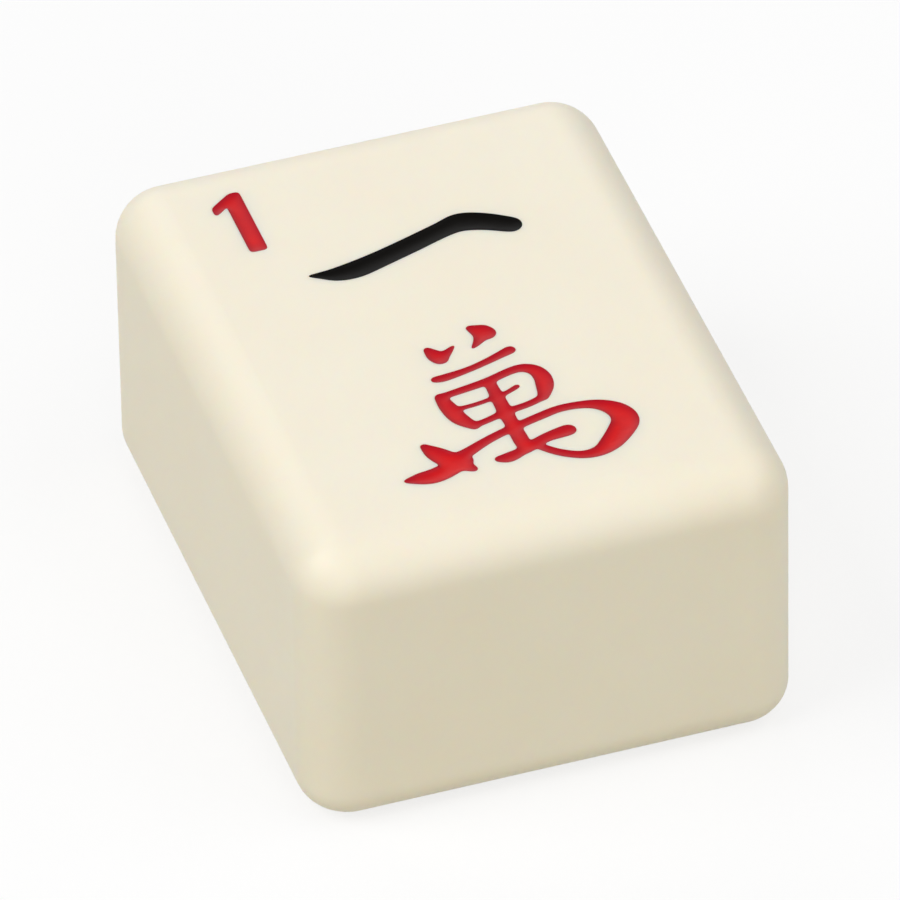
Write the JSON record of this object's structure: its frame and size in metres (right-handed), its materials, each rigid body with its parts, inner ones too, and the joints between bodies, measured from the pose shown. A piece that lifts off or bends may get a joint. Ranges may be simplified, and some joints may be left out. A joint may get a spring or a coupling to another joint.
{
  "type": "mahjong tile",
  "caption": "Rounded rectangular tile for a table game, of ivory resin, its face cut and painted with a red corner numeral, a black brush stroke and a red brush-drawn figure.",
  "frame": {"origin": "middle of the flat back, on the surface that the tile lies on when its face is up", "axes": "+Z out of the marked face, +Y towards the head of the marks, +X to the right as the face is read"},
  "size_m": [0.023, 0.03, 0.015],
  "materials": {
    "ivory_resin": "moulded ivory-coloured resin, tumbled to a soft gloss",
    "red_paint": "glossy red enamel, lying slightly hollow in its cuts",
    "black_paint": "glossy black enamel, lying slightly hollow in its cut"
  },
  "bodies": {
    "root": {"block": "ivory_resin", "numeral_paint": "red_paint", "one_stroke_paint": "black_paint", "wan_left_dot_paint": "red_paint", "wan_right_dot_paint": "red_paint", "wan_bar_paint": "red_paint", "wan_body_paint": "red_paint"}
  },
  "joints": []
}
